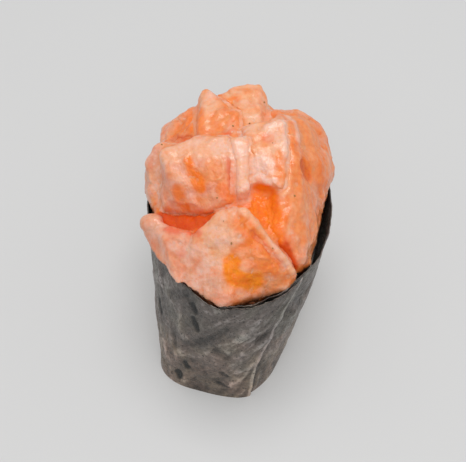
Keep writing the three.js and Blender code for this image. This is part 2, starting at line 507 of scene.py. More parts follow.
@dataclass(frozen=True)
class SalmonFinish:
    """Moist fish flesh with pale flake lines, under a film of dressing."""

    flake: float = FLAKE_PITCH
    fibre: float = 0.55
    line: Colour = Tint.CREAM.value
    film: Colour = (0.87, 0.49, 0.36)
    scatter: float = 1.0

    def _wave(self, look: Shader, pitch: float, wander: float) -> bpy.types.NodeSocket:
        """Makes a wave across the grain.

        Args:
            look: The material that it belongs to.
            pitch: The distance between two lines in millimetres.
            wander: How many pitches the lines stray.

        Returns:
            A value that is 0 on the lines and 0.5 between them.
        """
        turns = look.maths("MULTIPLY", look.attribute("grain"), 1.0 / pitch)
        wobble = look.maths("MULTIPLY", look.noise(1.6, 2.0), wander)
        return look.maths("PINGPONG", look.maths("ADD", turns, wobble), 0.5)

    def material(self) -> bpy.types.Material:
        """Makes the material, which reads the points' tone, grain, film and bareness.

        Returns:
            The material.
        """
        look = Shader("salmon_flesh")
        tone = look.attribute("tone", is_colour=True)
        film = look.attribute("film")
        mottle = look.ramp(look.noise(0.9, 4.0), (0.34, (0.96, 0.78, 0.62)), (0.62, (1.0, 1.0, 1.0)))
        flesh = look.mix(1.0, tone, mottle, "MULTIPLY")
        lines = look.ramp(self._wave(look, self.flake, 1.1), (0.0, 0.4), (0.12, 0.18), (0.26, 0.0))
        lines = look.maths("MULTIPLY", lines, look.ramp(look.noise(3.2, 1.0), (0.42, 0.0), (0.6, 1.0)))
        lines = look.maths("MULTIPLY", lines, look.maths("SUBTRACT", 1.0, look.attribute("bare")))
        flesh = look.mix(lines, flesh, self.line)
        veil = look.maths("MULTIPLY", film, look.ramp(look.noise(0.8, 4.0), (0.36, 0.25), (0.56, 1.0)))
        look.feed("Base Color", look.mix(veil, flesh, self.film))
        look.feed("Roughness", look.ramp(look.noise(0.8, 3.0), (0.3, 0.36), (0.7, 0.56)))
        look.set("Subsurface Weight", 0.25)
        look.set("Subsurface Scale", self.scatter * MM)
        look.set("Subsurface Radius", (1.0, 0.42, 0.2))
        look.set("IOR", 1.36)
        look.feed("Coat Weight", look.ramp(look.attribute("bare"), (0.0, 0.55), (1.0, 0.2)))
        look.set("Coat Roughness", 0.08)
        fibres = look.maths("MULTIPLY", self._wave(look, self.fibre, 1.6), 0.3)
        pores = look.maths("MULTIPLY", look.noise(0.5, 4.0), 1.6)
        look.bump(look.maths("ADD", fibres, pores), 0.12, 0.8)
        return look.material


@dataclass(frozen=True)
class NoriFinish:
    """Damp pressed seaweed: near black, with a grey sheen and highlights painted on crests and edges."""

    dark: Colour = (0.004, 0.004, 0.003)
    middle: Colour = (0.037, 0.028, 0.022)
    # The pale and palest tones are painted highlights, on the crests and on the free end's edge.
    pale: Colour = (0.132, 0.107, 0.093)
    edge_highlight: Colour = (0.330, 0.290, 0.275)
    green: Colour = (0.85, 1.1, 0.85)
    # The tint of light bounced up from the floor, painted on towards the foot.
    floor_bounce: Colour = (1.6, 1.34, 1.16)

    def material(self) -> bpy.types.Material:
        """Makes the material, which reads the points' painted light and shade, kept as relief, and is
        painted warmer towards the foot as light bounced up from the floor.

        Returns:
            The material.
        """
        look = Shader("nori_sheet")
        relief = look.attribute("relief")
        blotch = look.maths("MULTIPLY", look.noise(1.0, 6.0), 0.5)
        # The relief sets the tone: hollows are painted dark as shade and crests pale as highlights.
        level = look.maths("ADD", look.maths("MULTIPLY", relief, 0.75), blotch)
        stops = ((0.3, self.dark), (0.5, self.middle), (0.8, self.pale), (1.0, self.edge_highlight))
        tone = look.ramp(level, *stops)
        hue = look.ramp(look.noise(4.5, 2.0), (0.4, 0.0), (0.6, 0.3))
        tone = look.mix(hue, tone, look.mix(1.0, tone, self.green, "MULTIPLY"))
        split = look.tree.nodes.new("ShaderNodeSeparateXYZ")
        look.join(look.object_place, split.inputs[0])
        # Towards the foot the tone is painted warmer, as light bounced up from the floor.
        foot = look.maths("MULTIPLY", split.outputs["Z"], -1.0 / (WALL_HEIGHT * MM))
        floor_bounce = look.maths("ADD", look.maths("ADD", foot, 0.45), look.noise(4.0, 2.0))
        floor_bounce = look.ramp(floor_bounce, (0.25, 0.0), (0.9, 1.0))
        tone = look.mix(floor_bounce, tone, look.mix(1.0, tone, self.floor_bounce, "MULTIPLY"))
        fleck = look.ramp(look.noise(0.4, 3.0), (0.3, 0.0), (0.42, 1.0))
        tone = look.mix(fleck, self.dark, tone)
        look.feed("Base Color", tone)
        look.feed("Roughness", look.ramp(look.noise(0.6, 5.0), (0.35, 0.24), (0.65, 0.55)))
        look.set("IOR", 1.62)
        look.bump(look.noise(0.9, 8.0), 0.45, 1.0)
        return look.material


@dataclass(frozen=True)
class RiceFinish:
    """Cooked rice: milky, faintly translucent grains with a soft gloss."""

    colour: Colour = (0.80, 0.77, 0.69)
    heart: Colour = (0.88, 0.86, 0.80)
    scatter: float = 1.0

    def material(self) -> bpy.types.Material:
        """Makes the material.

        Returns:
            The material.
        """
        look = Shader("cooked_rice")
        look.feed("Base Color", look.mix(look.noise(1.6, 3.0), self.colour, self.heart))
        look.feed("Roughness", look.ramp(look.noise(0.9, 3.0), (0.3, 0.3), (0.7, 0.5)))
        look.set("Subsurface Weight", 0.3)
        look.set("Subsurface Scale", self.scatter * MM)
        look.set("IOR", 1.4)
        look.bump(look.noise(0.3, 3.0), 0.03, 0.6)
        return look.material


@dataclass(frozen=True)
class SpeckFinish:
    """Dry spice and nori crumbs, from olive to brown."""

    olive: Colour = (0.48, 0.28, 0.06)
    brown: Colour = (0.32, 0.12, 0.04)

    def material(self) -> bpy.types.Material:
        """Makes the material.

        Returns:
            The material.
        """
        look = Shader("spice_specks")
        look.feed("Base Color", look.mix(look.noise(2.4, 1.0), self.olive, self.brown))
        look.feed("Roughness", look.ramp(look.noise(0.3, 2.0), (0.3, 0.5), (0.7, 0.75)))
        look.bump(look.noise(0.12, 2.0), 0.02, 0.8)
        return look.material


@dataclass(frozen=True)
class Outline:
    """A rounded outline, longer along Y and turned about Z."""

    x: float
    y: float
    half_width: float
    half_length: float
    squareness: float
    turn: float

    def at(self, angle: np.ndarray) -> np.ndarray:
        """Finds points of the outline.

        Args:
            angle: Angles round it.

        Returns:
            The flat places, one row each.
        """
        power = 2.0 / self.squareness
        across = self.half_width * np.sign(np.cos(angle)) * np.abs(np.cos(angle)) ** power
        along = self.half_length * np.sign(np.sin(angle)) * np.abs(np.sin(angle)) ** power
        c, s = math.cos(self.turn), math.sin(self.turn)
        return np.stack([self.x + across * c + along * s, self.y + along * c - across * s], axis=1)


@dataclass(frozen=True)
class Wall:
    """The standing wall of the sushi, between its foot and its rim.

    The outlines' centres are measured from the middle of the part's box.
    """

    foot: Outline = Outline(0.05, -1.99, 12.6, 23.4, 3.5, 0.31)
    rim: Outline = Outline(-0.45, 0.71, 17.5, 26.3, 1.9, -0.02)
    height: float = WALL_HEIGHT
    swell: float = 0.5

    @property
    def middle(self) -> np.ndarray:
        """Returns the flat place midway between the centres of foot and rim."""
        return np.array([(self.foot.x + self.rim.x) / 2, (self.foot.y + self.rim.y) / 2])

    def outline(self, angle: np.ndarray, level: np.ndarray) -> np.ndarray:
        """Returns the wall's plain outline at some angles and levels, where the rim is 1."""
        foot, rim = self.foot.at(angle), self.rim.at(angle)
        return foot + (rim - foot) * level[:, None]

    def normal(self, angle: np.ndarray, level: np.ndarray) -> np.ndarray:
        """Finds the horizontal directions out of the wall.

        Args:
            angle: Angles round the wall.
            level: Levels from 0 at the foot to 1 at the rim.

        Returns:
            Unit directions, one row each.
        """
        step = math.radians(2.0)
        way = self.outline(angle + step, level) - self.outline(angle - step, level)
        out = np.stack([way[:, 1], -way[:, 0]], axis=1)
        return out / np.linalg.norm(out, axis=1, keepdims=True)

    def points(
        self, angle: np.ndarray, level: np.ndarray, outset: np.ndarray, height: np.ndarray
    ) -> np.ndarray:
        """Finds points of the wall.

        Args:
            angle: Angles round the wall.
            level: Levels from 0 at the foot to 1 at the rim.
            outset: Distances out of the plain wall.
            height: The rim's height at each point.

        Returns:
            The points, one row each.
        """
        creases = 0.22 * np.sin(5 * angle + 4 * level) + 0.15 * np.sin(11 * angle - 6 * level + 1)
        relief = self.swell * np.sin(math.pi * level)
        relief += creases * np.sin(math.pi * np.minimum(1.0, level + 0.15))
        flat = self.outline(angle, level) + self.normal(angle, level) * (relief + outset)[:, None]
        return np.column_stack([flat, level * height])


def kept_inside(wall: Wall, points: np.ndarray, inset: float) -> np.ndarray:
    """Draws points in towards the middle until they clear the wall.

    Args:
        wall: The wall.
        points: Places, one row each.
        inset: The least distance to the wall's outline.

    Returns:
        The moved places, one row each.
    """
    ribs, slices = 180, 14
    angles = np.linspace(0, 2 * math.pi, ribs, endpoint=False)
    middle = wall.middle
    bearing = np.arctan2(points[:, 1] - middle[1], points[:, 0] - middle[0])
    distance = np.hypot(points[:, 0] - middle[0], points[:, 1] - middle[1])
    limit = np.empty(len(points))
    levels = np.clip(points[:, 2] / wall.height, 0, 1)
    bands = np.linspace(0, 1, slices + 1)
    for low, high in zip(bands[:-1], bands[1:]):
        chosen = (levels >= low) & (levels <= high)
        ring = wall.outline(angles, np.full(ribs, low)) - middle
        order = np.argsort(np.arctan2(ring[:, 1], ring[:, 0]))
        ways = np.arctan2(ring[:, 1], ring[:, 0])[order]
        reach = np.hypot(ring[:, 0], ring[:, 1])[order]
        limit[chosen] = np.interp(bearing[chosen], ways, reach, period=2 * math.pi) - inset
    scale = np.minimum(1.0, limit / np.maximum(distance, 1e-6))[:, None]
    return np.column_stack([middle + (points[:, :2] - middle) * scale, points[:, 2]])


@dataclass(frozen=True)
class Crease:
    """A fold, a dent or a pit of the nori, along a line.

    Its ends are given as degrees along the strip and as levels up the wall. `rise` is how far it
    stands out in millimetres, and `shade` paints it paler as a highlight or, below 0, darker as shade.
    """

    start: tuple[float, float]
    end: tuple[float, float]
    width: float
    rise: float
    shade: float = 0.0

    def reach(self, degrees: np.ndarray, level: np.ndarray, warp: np.ndarray) -> np.ndarray:
        """Finds the crease's weight at places on the strip.

        Args:
            degrees: Degrees along the strip.
            level: Levels up the wall.
            warp: Noise that makes the crease's border uneven.

        Returns:
            Weights, 1 on the crease's line and 0 past its width.
        """
        scale = np.array([WALL_RADIUS * math.pi / 180.0, WALL_HEIGHT])
        places = np.column_stack([degrees, level]) * scale
        a, b = np.array(self.start) * scale, np.array(self.end) * scale
        way = b - a
        along = np.clip((places - a) @ way / max(way @ way, 1e-9), 0, 1)
        gap = np.linalg.norm(places - a - along[:, None] * way, axis=1)
        return smooth_step(1.0, 0.2, gap * (1.0 + 0.5 * warp) / self.width)


CREASES = (
    # Slanting folds over the front and the left side, raised and painted paler as highlights.
    Crease((296, 0.42), (283, 0.35), 1.3, 0.25, 0.15),
    Crease((290, 0.3), (280, 0.14), 1.6, 0.2, 0.15),
    Crease((283, 0.85), (275, 0.68), 1.3, 0.25, 0.18),
    Crease((280, 0.55), (299, 0.62), 1.2, 0.22, 0.15),
    Crease((212, 0.8), (232, 0.97), 1.6, 0.2, 0.2),
    Crease((200, 0.63), (215, 0.78), 1.4, 0.2, 0.22),
    Crease((236, 0.62), (250, 0.38), 1.6, 0.22, 0.15),
    Crease((226, 0.42), (238, 0.2), 1.6, 0.2, 0.12),
    # The dent under the flank's upper corner, painted a little darker as shade.
    Crease((-48, 0.72), (-26, 0.66), 2.6, -0.6, -0.1),
    # Hollows and pits, dented in and painted darker as their shade.
    Crease((288, 0.66), (297, 0.7), 1.7, -0.4, -0.35),
    Crease((268, 0.54), (272, 0.49), 1.1, -0.3, -0.35),
    Crease((252, 0.13), (256, 0.1), 1.2, -0.35, -0.9),
    Crease((254, 0.28), (257, 0.24), 0.9, -0.3, -0.8),
    Crease((246, 0.79), (252, 0.71), 0.7, -0.3, -0.7),
    Crease((242, 0.9), (246, 0.86), 0.7, -0.3, -0.6),
    Crease((210, 0.27), (213, 0.21), 1.0, -0.3, -0.7),
    Crease((273, 0.3), (276, 0.27), 0.7, -0.25, -0.5),
    Crease((273, 0.16), (279, 0.13), 0.7, -0.25, -0.5),
    Crease((216, 0.6), (220, 0.52), 0.7, -0.25, -0.6),
)


@dataclass(frozen=True)
class NoriBand:
    """The strip of nori, wrapped once round and lapped over its own start.

    The free end is given as levels with degrees, the rim as degrees with millimetres of rise.
    """

    wall: Wall
    length: float = 155.0
    thickness: float = 0.32
    frame_thickness: float = 0.5
    start: float = math.radians(-104)
    free_end: Profile = ((0.0, 301), (0.2, 296), (0.4, 294), (0.6, 298), (0.85, 302), (1.0, 311))
    rim_rise: Profile = (
        (-140, 0.0), (-118, 0.4), (-103, 0.1), (-92, 1.3), (-75, 1.5),
        (-60, 1.0), (-46, 1.4), (-30, 0.7), (-10, 0.0),
    )
    lap_from: float = math.radians(215)
    lap_full: float = math.radians(255)
    lap_gap: float = 0.08
    end_flare: float = 0.05
    end_curl: float = 0.1
    end_fray: float = 0.45
    flank_flare: float = 0.8
    lean: float = math.radians(52)
    lean_turn: float = 138.0
    columns: int = 520
    rows: int = 92
    seed: int = 11

    def _rim_height(self, angle: np.ndarray) -> np.ndarray:
        """Finds the rim's height before its ragged edge.

        Args:
            angle: Angles along the strip.

        Returns:
            A height in millimetres for each.
        """
        degrees = (np.degrees(angle) + 180.0) % 360.0 - 180.0
        rise = np.interp(degrees, *zip(*self.rim_rise))
        return self.wall.height + 0.35 * np.sin(2 * angle + 0.6) + 0.21 * np.sin(5 * angle) + rise

    def _relief(self, flat: np.ndarray) -> np.ndarray:
        """Finds the sheet's own creases, which lean to either side.

        Args:
            flat: Places along and up the strip in millimetres, one row each.

        Returns:
            How far the sheet stands out at each place, in millimetres.
        """
        noise = Noise(self.seed)
        blobs = np.column_stack([flat, np.full(len(flat), 9.0)])
        warp = 1.6 * noise.at(blobs, 6.0)
        streaks = []
        for lean in (self.lean, -self.lean):
            along = flat[:, 0] * math.cos(lean) + flat[:, 1] * math.sin(lean)
            across = flat[:, 0] * math.sin(lean) - flat[:, 1] * math.cos(lean)
            places = np.column_stack([along / 3.6, across + warp, np.full(len(flat), 3.0)])
            streaks.append(0.24 * noise.ridges(places, 4.6) + 0.13 * noise.ridges(places, 1.7))
        turned = noise.at(blobs + 90.0, 16.0) + 0.1 * (flat[:, 0] - self.lean_turn)
        relief = streaks[1] + (streaks[0] - streaks[1]) * smooth_step(-0.3, 0.3, turned)
        relief += 0.05 * noise.at(blobs, 1.5) + 0.04 * noise.at(blobs, 0.75)
        pits = smooth_step(0.6, 0.85, noise.at(blobs + 40.0, 1.6))
        return relief - 0.12 * pits

    def _outset(self, u: np.ndarray, level: np.ndarray, angle: np.ndarray) -> np.ndarray:
        """Finds how far the middle of the sheet's thickness lies out of the plain wall.

        Args:
            u: Shares of the strip's length, 1 at its free end.
            level: Levels up the wall.
            angle: Angles along the strip.

        Returns:
            A distance in millimetres for each place.
        """
        free = smooth_step(self.lap_full, math.radians(self.free_end[-1][1]), angle)
        lap = (self.frame_thickness + self.lap_gap) * smooth_step(self.lap_from, self.lap_full, angle)
        curl = self.end_curl * smooth_step(0.982, 1.0, u) * (0.35 + 0.65 * level)
        degrees = np.degrees(angle)
        flank = smooth_step(-55.0, -35.0, degrees) * smooth_step(45.0, 15.0, degrees)
        outset = lap + self.end_flare * free * level**3 + curl - self.frame_thickness / 2
        return outset + self.flank_flare * flank * level**2

    def _grid(self) -> tuple[np.ndarray, np.ndarray, np.ndarray]:
        """Lays out the sheet's grid, column by column from its hidden start to its free end.

        Returns:
            The points in the middle of its thickness and their outward directions, one row each,
            and how pale each point is.
        """
        along, up = np.linspace(0, 1, self.columns + 1), np.linspace(0, 1, self.rows + 1)
        u, level = (grid.ravel() for grid in np.meshgrid(along, up, indexing="ij"))
        noise = Noise(self.seed + 1)
        flat = np.column_stack([u * self.length, level * self.wall.height])
        ragged = np.column_stack([flat, np.zeros(len(flat))])
        tail = smooth_step(0.985, 1.0, u) - smooth_step(0.015, 0.0, u)
        fray = tail * self.end_fray * noise.at(ragged * [0, 1, 1], 1.3)
        end = np.radians(np.interp(level, *zip(*self.free_end)))
        angle = self.start + (end - self.start) * u + fray / WALL_RADIUS
        edge = 0.3 * noise.at(ragged * [1, 0, 1], 1.7) + 0.16 * noise.at(ragged * [1, 0, 1], 0.6)
        height = self._rim_height(angle) + edge - 0.1
        relief = self._relief(flat)
        warp = noise.at(ragged + 60.0, 1.8)
        # The tone follows the relief: crests are painted paler as highlights and hollows darker as shade.
        # The free end's lip is painted pale as a highlight where its edge catches the light, and the
        # layer just past it is painted dark as the shadow of that edge.
        past_end = np.degrees(angle - end) + 360.0
        lip_highlight = smooth_step(0.992, 0.997, u + 0.002 * noise.at(ragged + 20.0, 2.0))
        shade = 1.1 * relief + 0.5 * lip_highlight
        shade -= 0.35 * smooth_step(7.0, 0.0, past_end) * smooth_step(-3.0, 0.0, past_end)
        for crease in CREASES:
            weight = crease.reach(np.degrees(angle), level, warp)
            relief += crease.rise * weight
            shade += crease.shade * weight
        calm = smooth_step(0.0, 0.12, level) * (1.0 - 0.35 * smooth_step(0.85, 1.0, level))
        outset = self._outset(u, level, angle) + (relief - 0.12) * calm
        middle = self.wall.points(angle, level, outset, height)
        out = np.column_stack([self.wall.normal(angle, level), np.zeros(len(angle))])
        return middle, out, shade

    def build(self, material: bpy.types.Material) -> bpy.types.Object:
        """Makes the sheet as one closed mesh with both faces, the edges and the two ends.

        Args:
            material: The nori's finish.

        Returns:
            The finished object.
        """
        middle, out, shade = self._grid()
        rows = self.rows + 1
        count = len(middle)
        rim = np.tile(np.linspace(0, 1, rows), self.columns + 1)
        half = 0.5 * self.thickness * (1.0 - 0.35 * smooth_step(0.97, 1.0, rim))
        outer, inner = middle + out * half[:, None], middle - out * half[:, None]
        points = np.vstack([outer, inner])
        points[:, 2] = np.maximum(points[:, 2], 0.0)
        index = np.arange(count).reshape(self.columns + 1, rows)
        faces: list[tuple[int, ...]] = []

        def close(a: np.ndarray, b: np.ndarray) -> None:
            """Adds the quads between two runs of points."""
            faces.extend(zip(a[:-1], b[:-1], b[1:], a[1:]))

        for i in range(self.columns):
            close(index[i], index[i + 1])
            close(index[i + 1] + count, index[i] + count)
        close(index[:, -1], index[:, -1] + count)
        close(index[:, 0] + count, index[:, 0])
        close(index[0] + count, index[0])
        close(index[-1], index[-1] + count)
        mesh = mesh_of("nori_sheet", points, faces)
        # The painted light and shade are kept on the points under the name relief.
        Surface(mesh).store("relief", np.tile(np.clip(0.45 + shade, 0, 1), 2))
        piece = show("nori_sheet", mesh)
        mesh.materials.append(material)
        return piece


@dataclass(frozen=True)
class Mark:
    """A local change of a salmon piece, along a line on its surface.

    Places are fractions of the piece's own box. `width` is the reach to each side of the line,
    `rise` is how far the surface stands out there, and `film` adds or takes away dressing.
    """

    start: Place
    end: Place
    width: float
    tint: Tint | None = None
    strength: float = 0.0
    rise: float = 0.0
    film: float = 0.0


def spot(
    at: Place,
    width: float,
    tint: Tint | None = None,
    strength: float = 0.0,
    rise: float = 0.0,
    film: float = 0.0,
) -> Mark:
    """Returns a mark round a single place."""
    return Mark(at, at, width, tint, strength, rise, film)


def tinted(tone: np.ndarray, tint: Tint, share: np.ndarray) -> np.ndarray:
    """Returns colours, one row for each point, moved towards a tint by each point's share."""
    return tone + (np.array(tint.value) - tone) * share[:, None]


@dataclass(frozen=True)
class Tuck:
    """How the foot of the heap is drawn in where it sits inside the rim, in millimetres."""

    all_round: float = 0.25
    front: float = 0.9
    side_share: float = 0.3
    from_height: float = 35.0
    full_height: float = 29.5

    def drawn_in(self, points: np.ndarray) -> np.ndarray:
        """Draws salmon points in towards the middle, most at the front and some at the right.

        Args:
            points: Places, one row each.

        Returns:
            The moved places, one row each.
        """
        bearing = np.degrees(np.arctan2(points[:, 1], points[:, 0]))
        low = smooth_step(self.from_height, self.full_height, points[:, 2])
        front = smooth_step(-97.0, -84.0, bearing) * smooth_step(-48.0, -62.0, bearing)
        side = smooth_step(-64.0, -52.0, bearing) * smooth_step(25.0, 0.0, bearing)
        draw = (self.all_round + self.front * (front + self.side_share * side)) * low
        draw /= np.maximum(np.hypot(points[:, 0], points[:, 1]), 1.0)
        return points - points * [1, 1, 0] * draw[:, None]


@dataclass(frozen=True)
class SalmonPiece:
    """One cut piece of salmon, dressed, that follows its frame node's shape.

    Its colour wanders between the two tints. `grain` is the way across its flakes and `film` is
    how much dressing covers it. Below `shade_from` it is painted darker as the shade inside the band,
    down to `shade_full`, and its dressing fades there with it.
    """

    node: str
    tint: Tint
    second: Tint
    grain: Place
    film: float
    seed: int
    marks: tuple[Mark, ...] = ()
    voxel: float = 0.28
    lump: float = 0.34
    shade_from: float = 29.4
    shade_full: float = WALL_HEIGHT

    def _skin(self, source: bpy.types.Mesh) -> bpy.types.Object:
        """Makes an evenly meshed, softened copy of the frame node.

        Args:
            source: The frame node's mesh.

        Returns:
            The copy, as a plain object.
        """
        piece = show(f"{self.node}_skin", source.copy())
        weld = piece.modifiers.new("weld", "WELD")
        weld.merge_threshold = 0.001 * MM
        remesh = piece.modifiers.new("even", "REMESH")
        remesh.mode = "VOXEL"
        remesh.voxel_size = self.voxel * MM
        soften = piece.modifiers.new("soften", "SMOOTH")
        soften.factor = 0.5
        soften.iterations = 4
        return baked(piece, f"{self.node}_dressed")

    def _trail(self, surface: Surface, mark: Mark) -> np.ndarray:
        """Lays the mark's line on the surface.

        Args:
            surface: The piece's surface.
            mark: The mark.

        Returns:
            Places along the line, one row each.
        """
        start, end = surface.in_box(mark.start), surface.in_box(mark.end)
        steps = np.linspace(0, 1, 2 + int(np.linalg.norm(end - start) / 1.5))
        return np.array([surface.points[surface.nearest(start + (end - start) * t)] for t in steps])

    def _reach(self, surface: Surface, mark: Mark, warp: np.ndarray) -> np.ndarray:
        """Finds the mark's weight at each point.

        Args:
            surface: The piece's surface.
            mark: The mark.
            warp: Noise that makes the mark's border uneven.

        Returns:
            Weights, 1 on the mark's line and 0 past its width.
        """
        trail = self._trail(surface, mark)
        nearest = np.full(len(surface.points), np.inf)
        for a, b in zip(trail[:-1], trail[1:]):
            way = b - a
            along = (surface.points - a) @ way / max(way @ way, 1e-9)
            foot = a + np.clip(along, 0, 1)[:, None] * way
            nearest = np.minimum(nearest, np.linalg.norm(surface.points - foot, axis=1))
        return smooth_step(1.08, 0.5, nearest * (1.0 + 0.35 * warp) / mark.width)

    def _plain_tone(self, surface: Surface, noise: Noise, others: BVHTree) -> np.ndarray:
        """Colours the piece before its marks: blotches, edges painted pale as highlights and crevices
        painted a deeper orange as light bounced between the pieces.

        Args:
            surface: The piece's surface.
            noise: The piece's noise.
            others: The other pieces' surfaces, in millimetres, to find the crevices.

        Returns:
            Linear RGB, one row for each point.
        """
        points = surface.points
        blotches = 1.4 * noise.at(points + 31.0, 4.0) + 1.1 * noise.at(points + 12.0, 1.7)
        share = np.clip(0.5 + blotches, 0, 1)[:, None]
        tone = np.array(self.tint.value) * (1 - share) + np.array(self.second.value) * share
        # Edges that stand out are painted pale as highlights.
        edge = smooth_step(0.02, 0.14, surface.bulge(10))
        edge *= smooth_step(-0.7, 0.1, noise.at(points + 50.0, 3.0))
        tone = tinted(tone, Tint.CREAM, 0.6 * edge)
        tone = tinted(tone, Tint.CREAM, 0.4 * self._crest(points, noise))
        # Crevices next to other pieces are painted a deeper orange, as light bounced between the pieces.
        gap = np.array([others.find_nearest(point)[3] for point in points])
        crevice = smooth_step(1.5, 0.35, gap) * smooth_step(0.0, 0.5, surface.normals[:, 2] + 1.0)
        return tinted(tone, Tint.ORANGE, 0.55 * crevice)

    def _crest(self, points: np.ndarray, noise: Noise) -> np.ndarray:
        """Returns how much each point lies on one of the flesh's few soft ridges."""
        ridge = smooth_step(0.84, 1.0, noise.ridges(points + 3.0, 6.5))
        return ridge * smooth_step(-0.4, 0.3, noise.at(points + 17.0, 2.4))

    def build(
        self, source: bpy.types.Mesh, others: BVHTree, material: bpy.types.Material
    ) -> bpy.types.Object:
        """Makes the piece.

        Args:
            source: The frame node's mesh.
            others: The other pieces' surfaces, in millimetres, to find the crevices.
            material: The salmon's finish.

        Returns:
            The finished object.
        """
        piece = self._skin(source)
        surface = Surface(piece.data)
        points, noise = surface.points.copy(), Noise(self.seed)
        grain_way = np.array(self.grain) / np.linalg.norm(self.grain)
        grain = points @ grain_way + 1.1 * noise.at(points, 6.0)
        warp = noise.at(points + 17.0, 2.4)
        film = self.film + 0.75 * noise.at(points + 5.0, 3.6) + 0.35 * noise.at(points, 1.5)
        tone = self._plain_tone(surface, noise, others)
        rise, bare = 0.2 * self._crest(points, noise), np.zeros(len(points))
        for mark in self.marks:
            weight = self._reach(surface, mark, warp)
            rise += mark.rise * surface.blurred(weight, 4)
            film = film * (1.0 - weight) + np.clip(film + mark.film, 0, 1) * weight
            bare = np.maximum(bare, weight * np.clip(-mark.film, 0, 1))
            if mark.tint:
                tone = tinted(tone, mark.tint, np.clip(mark.strength * weight, 0, 1))
        smear = smooth_step(0.1, 0.5, noise.at(points + 70.0, 2.6) + 0.3 * noise.at(points, 0.9))
        tone = tinted(tone, Tint.WHITE, 0.4 * smear * (0.25 + film.clip(0, 1)) * (1.0 - bare))
        # Below the rim the tone is painted darker as shade, and the dressing fades with it.
        unshaded = smooth_step(self.shade_full, self.shade_from, points[:, 2])
        tone *= 0.2 + 0.8 * unshaded[:, None]
        film = np.clip(surface.blurred(film, 2), 0, 1) * unshaded
        # A shallow groove runs between every two flakes, less deep where the dressing lies.
        flakes = np.abs(((grain / FLAKE_PITCH) % 1.0) - 0.5) * 2.0
        groove = smooth_step(0.5, 1.0, flakes) * (1.0 - 0.75 * film)
        lift = self.lump * noise.at(points, 4.6) + 0.2 * noise.at(points + 9.0, 2.1)
        lift += 0.08 * noise.at(points, 0.9) * (1.0 - 0.4 * film) + 0.05 * smear
        lift += -0.08 * groove + 0.08 * film + rise
        surface.points = Tuck().drawn_in(points + surface.normals * lift[:, None])
        surface.write()
        surface.store("tone", np.clip(tone, 0, 1))
        surface.store("grain", grain)
        surface.store("film", film)
        surface.store("bare", bare)
        piece.data.materials.clear()
        piece.data.materials.append(material)
        return piece


